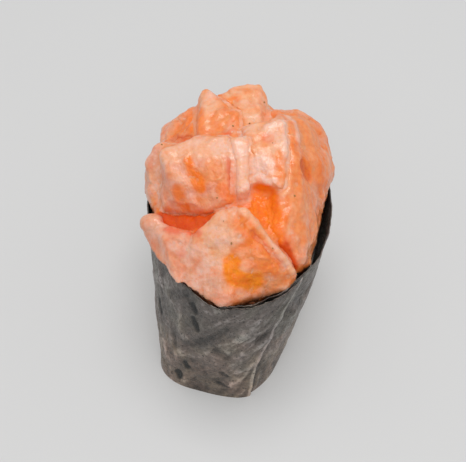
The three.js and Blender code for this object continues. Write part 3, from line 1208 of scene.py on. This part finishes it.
def salmon_pieces() -> tuple[SalmonPiece, ...]:
    """Describes the heap.

    Returns:
        Its pieces, from the front to the back, and then the one underneath.
    """
    return (
        SalmonPiece(
            "salmon_front", Tint.FLESH, Tint.PEACH, (0.8, 0.45, -0.4), 0.12, 101,
            (
                Mark((0.06, 0.9, 0.5), (0.34, 0.33, 0.49), 5.5, Tint.PINK, 0.75, film=0.15),
                Mark((0.46, 0.66, 0.9), (0.5, 0.36, 0.69), 2.9, Tint.CREAM, 0.85, film=0.35),
                Mark((0.66, 0.55, 0.94), (0.82, 0.3, 0.6), 2.5, Tint.ORANGE, 0.6, film=-0.3),
                Mark((0.57, 0.31, 0.65), (0.58, 0.22, 0.57), 1.9, Tint.AMBER, 1.6, film=-1.0),
                Mark((0.6, 0.2, 0.53), (0.71, 0.17, 0.48), 2.4, Tint.AMBER, 1.6, film=-1.0),
                Mark((0.61, 0.17, 0.51), (0.67, 0.16, 0.5), 1.2, Tint.ORANGE, 0.8, film=-1.0),
                Mark((0.3, 0.48, 0.6), (0.42, 0.46, 0.68), 1.3, Tint.WHITE, 0.5),
                Mark((0.22, 0.62, 0.55), (0.3, 0.38, 0.53), 1.1, Tint.WHITE, 0.45),
                Mark((0.38, 0.3, 0.52), (0.44, 0.36, 0.6), 1.3, Tint.WHITE, 0.45),
                spot((0.27, 0.5, 0.55), 1.5, Tint.RED, 0.35),
                spot((0.38, 0.22, 0.44), 1.6, Tint.RED, 0.3),
                spot((0.45, 0.16, 0.44), 2.9, Tint.BEIGE, 0.9, rise=0.3, film=0.2),
                spot((0.5, 0.05, 0.37), 2.2, Tint.PINK, 0.6),
                Mark((0.18, 0.75, 0.6), (0.37, 0.58, 0.74), 1.2, Tint.RED, 0.7, rise=0.25),
                Mark((0.65, 0.65, 1.0), (0.96, 0.28, 0.5), 1.0, Tint.CREAM, 0.85, rise=0.38, film=0.2),
                Mark((0.7, 0.5, 0.87), (0.9, 0.29, 0.56), 0.7, Tint.RED, 0.55, rise=-0.45),
                Mark((0.03, 0.98, 0.47), (0.1, 0.85, 0.5), 2.0, Tint.BEIGE, 0.7),
                spot((0.055, 0.99, 0.6), 2.1, rise=1.4),
                spot((0.56, 0.45, 0.81), 2.5, Tint.CREAM, 0.8, film=0.3),
            ),
        ),
        SalmonPiece(
            "salmon_mid_left", Tint.PEACH, Tint.PINK, (0.9, 0.2, 0.3), 0.25, 102,
            (
                Mark((0.18, 0.65, 0.94), (0.85, 0.68, 0.99), 3.2, Tint.CREAM, 0.8, rise=0.2, film=0.4),
                Mark((0.38, 0.5, 0.94), (0.46, 0.35, 0.87), 1.3, Tint.ORANGE, 0.95, film=-0.5),
                Mark((0.46, 0.35, 0.87), (0.54, 0.19, 0.79), 1.4, Tint.ORANGE, 1.0, film=-0.6),
                Mark((0.25, 0.27, 0.74), (0.33, 0.13, 0.6), 1.7, Tint.ORANGE, 0.75, film=-0.4),
                spot((0.04, 0.48, 0.68), 3.0, Tint.PINK, 0.6),
                spot((0.68, 0.09, 0.73), 2.2, Tint.CREAM, 0.5),
                Mark((0.91, 0.45, 0.98), (0.98, 0.11, 0.76), 1.0, Tint.RED, 0.5),
                Mark((0.8, 0.2, 0.8), (0.95, 0.1, 0.72), 1.2, Tint.ORANGE, 0.7, film=-0.5),
            ),
        ),
        SalmonPiece(
            "salmon_strip", Tint.CREAM, Tint.WHITE, (1.0, 0.0, 0.2), 0.5, 103,
            (spot((0.5, 0.0, 0.6), 1.6, Tint.ORANGE, 0.8, film=-0.8),), lump=0.15,
        ),
        SalmonPiece(
            "salmon_centre", Tint.PEACH, Tint.CREAM, (0.9, 0.4, 0.0), 0.3, 104,
            (
                spot((0.4, 0.26, 0.9), 3.2, Tint.WHITE, 1.0, rise=0.1, film=-0.2),
                spot((0.57, 0.63, 0.99), 1.5, Tint.RED, 0.45),
                # The right ridges, raised and painted white as highlights.
                Mark((0.55, 0.8, 0.99), (0.9, 0.9, 0.97), 0.9, Tint.WHITE, 0.85, rise=0.35),
                Mark((0.9, 0.85, 0.97), (0.95, 0.4, 0.97), 0.9, Tint.WHITE, 0.85, rise=0.35),
                Mark((0.78, 0.4, 0.93), (0.75, 0.15, 0.88), 1.0, Tint.ORANGE, 0.5, film=-0.2),
                Mark((0.25, 0.13, 0.81), (0.68, 0.08, 0.86), 0.8, Tint.WHITE, 0.9, rise=0.15),
                Mark((0.1, 0.0, 0.7), (0.9, 0.0, 0.72), 2.6, Tint.ORANGE, 1.2, film=-1.0),
            ),
        ),
        SalmonPiece(
            "salmon_right", Tint.FLESH, Tint.PEACH, (0.95, -0.1, 0.25), -0.1, 105,
            (
                Mark((0.5, 0.85, 0.78), (0.62, 0.65, 0.8), 4.2, Tint.PEACH, 0.8, film=-0.5),
                # A raised rim, painted white as a highlight.
                Mark((0.3, 0.82, 0.88), (0.42, 0.62, 0.94), 1.0, Tint.WHITE, 0.6, rise=0.25),
                spot((0.58, 0.5, 0.8), 2.6, Tint.ORANGE, 0.7, film=-0.8),
                # A dent, painted deep orange as its shade.
                Mark((0.5, 0.48, 0.87), (0.6, 0.47, 0.78), 1.5, Tint.DEEP_SHADE, 0.75, rise=-0.5, film=-0.9),
                Mark((0.8, 0.85, 0.72), (0.95, 0.65, 0.7), 5.5, rise=0.55),
                # A raised rim, painted white as a highlight.
                Mark((0.2, 0.72, 1.0), (0.28, 0.58, 0.92), 0.9, Tint.WHITE, 0.7, rise=0.2),
                Mark((0.41, 0.36, 0.82), (0.5, 0.1, 0.55), 2.4, Tint.PEACH, 0.6),
                spot((0.5, 0.05, 0.47), 2.6, Tint.PINK, 0.6, film=0.3),
                Mark((0.27, 0.45, 0.9), (0.2, 0.3, 0.84), 1.0, Tint.CREAM, 0.7, rise=0.2),
                # The groove next to the front piece, painted deep orange as its shade.
                Mark((0.13, 0.11, 0.66), (0.38, 0.01, 0.4), 1.5, Tint.DEEP_SHADE, 0.9, film=-1.0),
                Mark((0.05, 0.45, 0.78), (0.1, 0.12, 0.66), 2.4, Tint.ORANGE, 1.2, film=-1.0),
            ),
        ),
        SalmonPiece(
            "salmon_back_left", Tint.FLESH, Tint.PEACH, (0.7, -0.6, 0.3), 0.0, 106,
            (
                Mark((0.3, 0.4, 0.8), (0.45, 0.35, 0.88), 3.2, Tint.ORANGE, 0.8, film=-0.3),
                # A groove along its lower front, painted deep orange as its shade.
                Mark((0.17, 0.26, 0.73), (0.42, 0.12, 0.86), 1.1, Tint.DEEP_SHADE, 0.75, rise=-0.5, film=-0.6),
                Mark((0.54, 0.6, 0.96), (0.62, 0.45, 0.97), 2.2, Tint.CREAM, 0.8, film=0.3),
                Mark((0.56, 0.5, 0.96), (0.58, 0.2, 0.96), 0.6, Tint.CREAM, 0.6, rise=0.1),
                spot((0.1, 0.42, 0.62), 2.6, Tint.PINK, 0.6),
                spot((0.79, 0.12, 0.98), 1.4, Tint.RED, 0.6),
            ),
        ),
        SalmonPiece(
            "salmon_back", Tint.PEACH, Tint.CREAM, (0.8, 0.5, 0.2), 0.05, 107,
            (
                spot((0.25, 0.42, 0.96), 1.6, Tint.ORANGE, 0.7),
                spot((0.46, 0.19, 0.99), 2.2, Tint.CREAM, 0.8, film=0.3),
                Mark((0.3, 0.68, 0.97), (0.59, 0.68, 0.95), 1.4, Tint.CREAM, 0.6),
            ),
        ),
        SalmonPiece(
            "salmon_left_small", Tint.PEACH, Tint.PINK, (0.3, 0.9, 0.2), 0.2, 108,
            (
                spot((0.22, 0.65, 0.77), 1.2, Tint.RED, 0.6),
                spot((0.15, 0.6, 0.7), 3.6, Tint.BEIGE, 0.6, film=0.2),
            ),
        ),
        SalmonPiece(
            UNDERNEATH, Tint.ORANGE, Tint.AMBER, (0.9, 0.3, 0.1), -0.4, 109,
            (
                # The pocket under the heap, painted deep orange as its shade.
                Mark((0.14, 0.68, 0.62), (0.42, 0.55, 0.76), 4.0, Tint.DEEP_SHADE, 1.0, film=-1.0),
                Mark((0.85, 0.7, 0.98), (0.9, 0.3, 0.95), 3.4, Tint.ORANGE, 1.2, film=-1.0),
            ),
        ),
    )


@dataclass(frozen=True)
class Dressing:
    """The sauce that has run into the crevices between the salmon pieces.

    `reach` is how wide a crevice it fills and `sink` how far it lies under the salmon elsewhere.
    It is pressed in by `hollow` along the `clear` lines, which are two ends and a width.
    """

    voxel: float = 0.4
    reach: float = 0.6
    sink: float = 0.08
    hollow: float = 0.75
    seed: int = 71
    clear: tuple[tuple[Place, Place, float], ...] = (
        ((-14.5, -6.5, 32.5), (-7.0, -9.0, 34.5), 2.6),
        ((7.6, -15.4, 33.9), (10.5, -18.5, 30.5), 1.5),
    )

    def _cleared(self, points: np.ndarray) -> np.ndarray:
        """Finds how far each point lies in an open hollow, where no sauce stands.

        Args:
            points: Places, one row each.

        Returns:
            Weights, 1 along the clear lines and 0 past their width.
        """
        weight = np.zeros(len(points))
        for start, end, width in self.clear:
            a, way = np.array(start), np.array(end) - np.array(start)
            along = np.clip((points - a) @ way / (way @ way), 0, 1)
            gap = np.linalg.norm(points - a - along[:, None] * way, axis=1)
            weight = np.maximum(weight, smooth_step(1.0, 0.75, gap / width))
        return weight

    def _pooled(self, pieces: Sequence[bpy.types.Object]) -> bpy.types.Object:
        """Makes the heap's rounded hull, which stands out of the pieces only in the crevices.

        Args:
            pieces: The finished salmon pieces.

        Returns:
            The hull, as a plain object.
        """
        heap = bmesh.new()
        for piece in pieces:
            heap.from_mesh(piece.data)
        mesh = bpy.data.meshes.new("dressing_heap")
        heap.to_mesh(mesh)
        heap.free()
        holder = show("dressing_heap", mesh)
        steps = ((0.0, 2), (self.reach, 3), (-self.reach - self.sink, 3))
        for index, (push, rounds) in enumerate(steps):
            if push:
                move = holder.modifiers.new(f"push_{index}", "DISPLACE")
                move.mid_level = 0.0
                move.strength = push * MM
            if index < len(steps) - 1:
                remesh = holder.modifiers.new(f"even_{index}", "REMESH")
                remesh.mode = "VOXEL"
                remesh.voxel_size = self.voxel * MM
            soften = holder.modifiers.new(f"soften_{index}", "SMOOTH")
            soften.iterations = rounds
        return baked(holder, "dressing")

    def _looks(self, surface: Surface, pieces: Sequence[bpy.types.Object]) -> np.ndarray:
        """Takes over the looks of the salmon next to each point of the dressing.

        Args:
            surface: The dressing's surface.
            pieces: The finished salmon pieces.

        Returns:
            Tone, film and bareness, one row of five numbers for each point.
        """
        looks, places = [], []
        for piece in pieces:
            skin = Surface(piece.data)
            places.append(skin.points[::3])
            looks.append(np.column_stack([skin.kept("tone"), skin.kept("film"), skin.kept("bare")])[::3])
        places, looks = np.vstack(places), np.vstack(looks)
        tree = KDTree(len(places))
        for index, point in enumerate(places):
            tree.insert(point, index)
        tree.balance()
        nearest = np.array([tree.find(point)[1] for point in surface.points])
        return surface.blurred(looks[nearest], 3)

    def build(
        self, pieces: Sequence[bpy.types.Object], material: bpy.types.Material
    ) -> bpy.types.Object:
        """Makes the dressing.

        Args:
            pieces: The finished salmon pieces.
            material: The salmon's finish, which this shares.

        Returns:
            The finished object.
        """
        made = self._pooled(pieces)
        surface, noise = Surface(made.data), Noise(self.seed)
        looks = self._looks(surface, pieces)
        tone, film, bare = looks[:, :3], looks[:, 3], looks[:, 4]
        wander = np.clip(0.5 + noise.at(surface.points, 3.0), 0, 1)
        tone = tinted(tone, Tint.ORANGE, 0.5 * wander)
        lift = 0.07 * noise.at(surface.points, 1.4) - self.hollow * self._cleared(surface.points)
        surface.points += surface.normals * lift[:, None]
        surface.write()
        surface.store("tone", tone)
        surface.store("grain", surface.points[:, 0])
        streaks = 0.3 + 0.6 * noise.at(surface.points + 8.0, 2.2)
        surface.store("film", np.clip(film + streaks * (1.0 - bare), 0, 1))
        surface.store("bare", bare)
        made.data.materials.clear()
        made.data.materials.append(material)
        return made


def start_tree(name: str) -> tuple[bpy.types.NodeTree, Callable[[str], str]]:
    """Starts a Geometry Nodes tree that takes and returns a geometry.

    Args:
        name: The tree's name.

    Returns:
        The tree, and a function that gives an input's identifier by its name.
    """
    tree = bpy.data.node_groups.new(name, "GeometryNodeTree")
    tree.interface.new_socket("Geometry", in_out="INPUT", socket_type="NodeSocketGeometry")
    tree.interface.new_socket("Geometry", in_out="OUTPUT", socket_type="NodeSocketGeometry")

    def identifier(wanted: str) -> str:
        """Returns the identifier of the input with that name."""
        items = tree.interface.items_tree
        return next(item.identifier for item in items if item.name == wanted and item.in_out == "INPUT")

    return tree, identifier


@dataclass(frozen=True)
class Scatter:
    """Copies of a small shape at given places, with sizes drawn between `low` and `high`."""

    name: str
    shape: bpy.types.Object
    material: bpy.types.Material
    low: float
    high: float
    seed: int

    def _tree(self) -> tuple[bpy.types.NodeTree, Callable[[str], str]]:
        """Makes the tree: instances on points with random sizes, realized, with the material.

        Returns:
            The tree, and a function that gives an input's identifier by its name.
        """
        tree, identifier = start_tree(self.name)
        for label in ("Smallest", "Largest"):
            tree.interface.new_socket(label, in_out="INPUT", socket_type="NodeSocketFloat")
        tree.interface.new_socket("Seed", in_out="INPUT", socket_type="NodeSocketInt")
        nodes, links = tree.nodes, tree.links
        source, target = nodes.new("NodeGroupInput"), nodes.new("NodeGroupOutput")
        shape = nodes.new("GeometryNodeObjectInfo")
        shape.inputs["Object"].default_value = self.shape
        turn = nodes.new("GeometryNodeInputNamedAttribute")
        turn.data_type = "FLOAT_VECTOR"
        turn.inputs["Name"].default_value = "turn"
        size = nodes.new("FunctionNodeRandomValue")
        place = nodes.new("GeometryNodeInstanceOnPoints")
        realize = nodes.new("GeometryNodeRealizeInstances")
        paint = nodes.new("GeometryNodeSetMaterial")
        paint.inputs["Material"].default_value = self.material
        # A random number's least and most are the node's inputs 2 and 3 and its output 1.
        links.new(source.outputs["Smallest"], size.inputs[2])
        links.new(source.outputs["Largest"], size.inputs[3])
        links.new(source.outputs["Seed"], size.inputs["Seed"])
        links.new(source.outputs["Geometry"], place.inputs["Points"])
        links.new(shape.outputs["Geometry"], place.inputs["Instance"])
        links.new(turn.outputs["Attribute"], place.inputs["Rotation"])
        links.new(size.outputs[1], place.inputs["Scale"])
        links.new(place.outputs["Instances"], realize.inputs["Geometry"])
        links.new(realize.outputs["Geometry"], paint.inputs["Geometry"])
        links.new(paint.outputs["Geometry"], target.inputs["Geometry"])
        return tree, identifier

    def build(self, points: np.ndarray, turns: np.ndarray) -> bpy.types.Object:
        """Places the copies.

        Args:
            points: Where the copies go, one row each.
            turns: Their rotations as XYZ angles, one row each.

        Returns:
            One plain mesh object of all the copies.
        """
        mesh = mesh_of(f"{self.name}_places", points, [])
        layer = mesh.attributes.new("turn", "FLOAT_VECTOR", "POINT")
        layer.data.foreach_set("vector", turns.astype(np.float32).ravel())
        holder = show(f"{self.name}_places", mesh)
        tree, identifier = self._tree()
        scatter = holder.modifiers.new("scatter", "NODES")
        scatter.node_group = tree
        scatter[identifier("Smallest")] = self.low
        scatter[identifier("Largest")] = self.high
        scatter[identifier("Seed")] = self.seed
        made = baked(holder, self.name)
        bpy.data.objects.remove(self.shape, do_unlink=True)
        return made


@dataclass(frozen=True)
class Lump:
    """A lumpy ellipsoid to copy, with its half sizes in millimetres.

    `unevenness` is a share of its size. `rings` run from pole to pole and `ribs` round them.
    """

    name: str
    half: Place
    unevenness: float
    seed: int
    rings: int
    ribs: int

    def build(self) -> bpy.types.Object:
        """Makes the shape.

        Returns:
            An object with one closed mesh.
        """
        polar = np.linspace(0, math.pi, self.rings + 1)[1:-1]
        bearing = np.arange(self.ribs) * 2 * math.pi / self.ribs
        p, b = (grid.ravel() for grid in np.meshgrid(polar, bearing, indexing="ij"))
        ball = np.column_stack([np.sin(p) * np.cos(b), np.sin(p) * np.sin(b), np.cos(p)])
        ball = np.vstack([ball, [[0, 0, 1], [0, 0, -1]]])
        ball *= (1 + self.unevenness * Noise(self.seed).at(ball + self.seed, 0.9))[:, None]
        top, bottom = len(ball) - 2, len(ball) - 1
        faces: list[tuple[int, ...]] = []
        for k in range(self.ribs):
            n = (k + 1) % self.ribs
            faces.append((top, k, n))
            last = (self.rings - 2) * self.ribs
            faces.append((bottom, last + n, last + k))
            for first in range(0, last, self.ribs):
                after = first + self.ribs
                faces.append((first + k, after + k, after + n, first + n))
        return show(self.name, mesh_of(self.name, ball * np.array(self.half), faces))


@dataclass(frozen=True)
class RiceBed:
    """The pressed rice inside the band: grains over a smaller core, open to see from below.

    The core is given as heights with insets from the wall. The grains lie in layers at the
    underside and at the top, where `filled` is the share of the places that hold one.
    """

    wall: Wall
    core: Profile = ((1.6, 1.8), (5.0, 1.8), (8.0, 0.8), (13.0, 0.8), (16.0, 1.6), (20.0, 1.6))
    layers: tuple[float, float] = (1.1, 21.0)
    filled: float = 1.0
    inset: float = 2.0
    clear: float = 1.3
    floor_clear: float = 0.03
    spacing: float = 2.15
    row_stretch: float = 1.25
    span: float = 30.0
    grain: Lump = Lump("rice_grain", (1.05, 1.0, 3.0), 0.12, 5, 8, 10)
    seed: int = 31

    def _core(self, material: bpy.types.Material) -> bpy.types.Object:
        """Makes the core, a plain closed shape that the grains and the heap hide.

        Args:
            material: The rice's finish.

        Returns:
            The finished object.
        """
        ribs = 72
        angle = np.linspace(0, 2 * math.pi, ribs, endpoint=False)
        top = np.full(ribs, self.wall.height)
        rings = []
        for z, inset in self.core:
            level, outset = np.full(ribs, z / self.wall.height), np.full(ribs, -inset)
            rings.append(self.wall.points(angle, level, outset, top))
        points = np.vstack([*rings, rings[0].mean(axis=0), rings[-1].mean(axis=0)])
        low, high = len(points) - 2, len(points) - 1
        last = (len(rings) - 1) * ribs
        faces: list[tuple[int, ...]] = []
        for k in range(ribs):
            n = (k + 1) % ribs
            faces.append((low, n, k))
            faces.append((high, last + k, last + n))
            for first in range(0, last, ribs):
                after = first + ribs
                faces.append((first + k, first + n, after + n, after + k))
        core = show("rice_core", mesh_of("rice_core", points, faces))
        core.data.materials.append(material)
        return core

    def _places(self) -> tuple[np.ndarray, np.ndarray]:
        """Strews the grains over the underside and the top.

        Returns:
            Their places and their XYZ angles, one row each.
        """
        rng = np.random.default_rng(self.seed)
        places: list[Place] = []
        turns: list[Place] = []
        reach = np.arange(-self.span, self.span, self.spacing)
        for z in self.layers:
            for x, y in itertools.product(reach, reach * self.row_stretch):
                jitter = rng.uniform(-0.6, 0.6, size=2)
                turn = rng.uniform(0, math.pi)
                tilt = rng.uniform(-0.2, 0.2)
                x, y = x + jitter[0], y + jitter[1]
                if rng.uniform() > self.filled or not self._inside(x, y, z / self.wall.height):
                    continue
                places.append((x, y, z + rng.uniform(0.0, 0.5)))
                turns.append((math.pi / 2 + tilt, 0.0, turn))
        return np.array(places), np.array(turns)

    def _inside(self, x: float, y: float, level: float) -> bool:
        """Tests whether a place lies inside the wall by the inset.

        Args:
            x: The place's X.
            y: The place's Y.
            level: The place's level up the wall.

        Returns:
            Whether it does.
        """
        ribs = 90
        angles, levels = np.linspace(0, 2 * math.pi, ribs), np.full(ribs, level)
        ring = self.wall.outline(angles, levels) - self.wall.normal(angles, levels) * self.inset
        ring -= self.wall.middle
        x, y = x - self.wall.middle[0], y - self.wall.middle[1]
        turned = np.arctan2(ring[:, 1], ring[:, 0]) - math.atan2(y, x)
        near = int(np.argmin(np.abs(np.angle(np.exp(1j * turned)))))
        return math.hypot(x, y) < math.hypot(*ring[near])

    def build(self, material: bpy.types.Material) -> tuple[bpy.types.Object, bpy.types.Object]:
        """Makes the rice.

        Args:
            material: The rice's finish.

        Returns:
            The core and the grains, of which the lowest rest on the surface below.
        """
        core = self._core(material)
        points, turns = self._places()
        grains = Scatter("rice_grains", self.grain.build(), material, 0.85, 1.1, 7).build(points, turns)
        surface = Surface(grains.data)
        surface.points = kept_inside(self.wall, surface.points, self.clear)
        surface.points[:, 2] = np.maximum(surface.points[:, 2], self.floor_clear)
        surface.write()
        return core, grains


@dataclass(frozen=True)
class Seasoning:
    """Specks of spice on the dressing, some strewn and some at set places.

    The set places are shares of a salmon piece's own box.
    """

    named: tuple[tuple[str, Place], ...] = (
        ("salmon_front", (0.6, 0.45, 0.75)),
        ("salmon_mid_left", (0.75, 0.1, 0.74)),
        ("salmon_right", (0.37, 0.29, 0.78)),
        ("salmon_back", (0.63, 0.45, 0.91)),
        ("salmon_back", (0.45, 0.05, 1.0)),
        ("salmon_centre", (0.2, 0.35, 0.92)),
    )
    strewn: int = 8
    strewn_above: float = 30.0
    stand_out: float = 0.04
    speck: Lump = Lump("speck", (0.24, 0.18, 0.14), 0.35, 9, 5, 7)
    seed: int = 53

    def build(
        self, pieces: dict[str, bpy.types.Object], material: bpy.types.Material
    ) -> bpy.types.Object:
        """Makes all the specks as one mesh.

        Args:
            pieces: The salmon pieces by node.
            material: The specks' finish.

        Returns:
            The finished object.
        """
        rng = np.random.default_rng(self.seed)
        surfaces = {node: Surface(piece.data) for node, piece in pieces.items()}
        places, turns = [], []

        def add(surface: Surface, index: int) -> None:
            """Adds a speck half sunk at a point of a surface."""
            places.append(surface.points[index] + surface.normals[index] * self.stand_out)
            turns.append(rng.uniform(0, math.pi, size=3))

        for node, at in self.named:
            add(surfaces[node], surfaces[node].nearest(surfaces[node].in_box(at)))
        names = [node for node in surfaces if node != UNDERNEATH]
        while len(places) < len(self.named) + self.strewn:
            surface = surfaces[names[int(rng.integers(len(names)))]]
            index = int(rng.integers(len(surface.points)))
            faces_up = surface.normals[index, 2] > 0.25
            if faces_up and surface.points[index, 2] > self.strewn_above:
                add(surface, index)
        scatter = Scatter("seasoning_specks", self.speck.build(), material, 0.45, 1.15, 3)
        return scatter.build(np.array(places), np.array(turns))


@dataclass(frozen=True)
class Lamp:
    """A square soft light, with its place and size in millimetres, turned to the sushi's middle."""

    name: str
    place: Place
    size: float
    power: float
    colour: Colour = (1.0, 0.99, 0.98)
    target: Place = (0.0, 0.0, 20.0)

    def build(self) -> None:
        """Makes the light."""
        data = bpy.data.lights.new(self.name, "AREA")
        data.shape = "SQUARE"
        data.size = self.size * MM
        data.energy = self.power
        data.color = self.colour
        lamp = bpy.data.objects.new(self.name, data)
        place = Vector(self.place)
        lamp.location = place * MM
        lamp.rotation_euler = (Vector(self.target) - place).to_track_quat("-Z", "Y").to_euler()
        bpy.context.scene.collection.objects.link(lamp)


@dataclass(frozen=True)
class Studio:
    """A plain pale floor, soft light and the camera.

    The floor glows a little, which keeps the shadows as light as those of a bright room.
    """

    elevation: float = 50.0
    distance: float = 285.0
    lens: float = 102.0
    aim: Place = (-1.3, 16.0, 0.6)
    lamps: tuple[Lamp, ...] = (
        Lamp("overhead", (40.0, 110.0, 640.0), 320.0, 1.75),
        Lamp("front_fill", (0.0, -400.0, 480.0), 420.0, 0.95),
    )
    sky_colour: Colour = (0.97, 0.985, 1.0)
    sky_strength: float = 0.52
    floor_colour: Colour = (0.40, 0.402, 0.404)
    floor_blotch: Colour = (0.41, 0.412, 0.414)
    glow_colour: Colour = (1.0, 0.985, 0.965)
    floor_glow: float = 0.235
    floor_half: float = 2000.0

    def _floor(self) -> None:
        """Makes the floor."""
        h = self.floor_half
        corners = np.array([(-h, -h, 0), (h, -h, 0), (h, h, 0), (-h, h, 0)], float)
        floor = show("floor", mesh_of("floor", corners, [(0, 1, 2, 3)]))
        look = Shader("pale_floor")
        look.feed("Base Color", look.mix(look.noise(60.0, 2.0), self.floor_colour, self.floor_blotch))
        look.set("Roughness", 0.6)
        look.set("Emission Color", (*self.glow_colour, 1.0))
        look.set("Emission Strength", self.floor_glow)
        floor.data.materials.append(look.material)
        floor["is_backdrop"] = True

    def _sky(self) -> None:
        """Makes the even light from all round."""
        world = bpy.data.worlds.new("soft_room")
        world.use_nodes = True
        background = world.node_tree.nodes["Background"]
        background.inputs["Color"].default_value = (*self.sky_colour, 1.0)
        background.inputs["Strength"].default_value = self.sky_strength
        bpy.context.scene.world = world

    def _camera(self) -> None:
        """Makes the camera that looks down on the sushi from its front."""
        data = bpy.data.cameras.new("camera")
        data.lens = self.lens
        data.clip_start, data.clip_end = 0.01, 20.0
        camera = bpy.data.objects.new("camera", data)
        slope = math.radians(self.elevation)
        back = Vector((0.0, -math.cos(slope), math.sin(slope)))
        camera.location = (Vector(self.aim) + back * self.distance) * MM
        camera.rotation_euler = (math.radians(90.0) - slope, 0.0, 0.0)
        bpy.context.scene.collection.objects.link(camera)
        bpy.context.scene.camera = camera

    def build(self) -> None:
        """Makes the floor, the lights and the camera."""
        self._floor()
        for lamp in self.lamps:
            lamp.build()
        self._sky()
        self._camera()
        bpy.context.scene.view_settings.view_transform = "Standard"


def surfaces_of(meshes: Iterable[bpy.types.Mesh]) -> BVHTree:
    """Makes a search tree over the faces of some meshes.

    Args:
        meshes: The meshes.

    Returns:
        The tree, in millimetres.
    """
    points: list[Vector] = []
    faces: list[list[int]] = []
    for mesh in meshes:
        first = len(points)
        points.extend(vertex.co / MM for vertex in mesh.vertices)
        faces.extend([first + index for index in face.vertices] for face in mesh.polygons)
    return BVHTree.FromPolygons(points, faces)


def clean_scene() -> None:
    """Removes what a new Blender file starts with."""
    for thing in list(bpy.data.objects):
        bpy.data.objects.remove(thing, do_unlink=True)


def write_sizes(frame_box: tuple[Vector, Vector]) -> None:
    """Logs the frame's box and the finished model's box.

    Args:
        frame_box: The frame's lowest and highest corner, in metres.
    """
    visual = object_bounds()
    boxes = {"cad": [list(corner) for corner in frame_box], "visual": [list(corner) for corner in visual]}
    LOG.info("boxes in mm: %s", {k: [[round(x / MM, 1) for x in c] for c in v] for k, v in boxes.items()})


def main() -> None:
    """Builds every piece round the frame."""
    logging.basicConfig(level=logging.INFO, format="%(message)s")
    clean_scene()
    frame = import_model()
    frame_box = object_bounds()
    nodes = frame["nodes"]
    Studio().build()
    wall = Wall()

    nori = NoriBand(wall).build(NoriFinish().material())
    settle(nori, Slot.NORI, "nori_band")

    rice_material = RiceFinish().material()
    core, grains = RiceBed(wall).build(rice_material)
    settle(core, Slot.RICE, "rice_bed")
    settle(grains, Slot.RICE, "rice_bed")

    salmon_material = SalmonFinish().material()
    dressed: dict[str, bpy.types.Object] = {}
    for piece in salmon_pieces():
        rest = [name for name in nodes if name.startswith("salmon") and name != piece.node]
        others = surfaces_of(nodes[name].data for name in rest)
        made = piece.build(nodes[piece.node].data, others, salmon_material)
        settle(made, Slot.SALMON, piece.node)
        dressed[piece.node] = made

    sauce = Dressing().build(list(dressed.values()), salmon_material)
    settle(sauce, Slot.DRESSING)

    specks = Seasoning().build(dressed, SpeckFinish().material())
    settle(specks, Slot.SEASONING)
    write_sizes(frame_box)


if __name__ == "__main__":
    main()
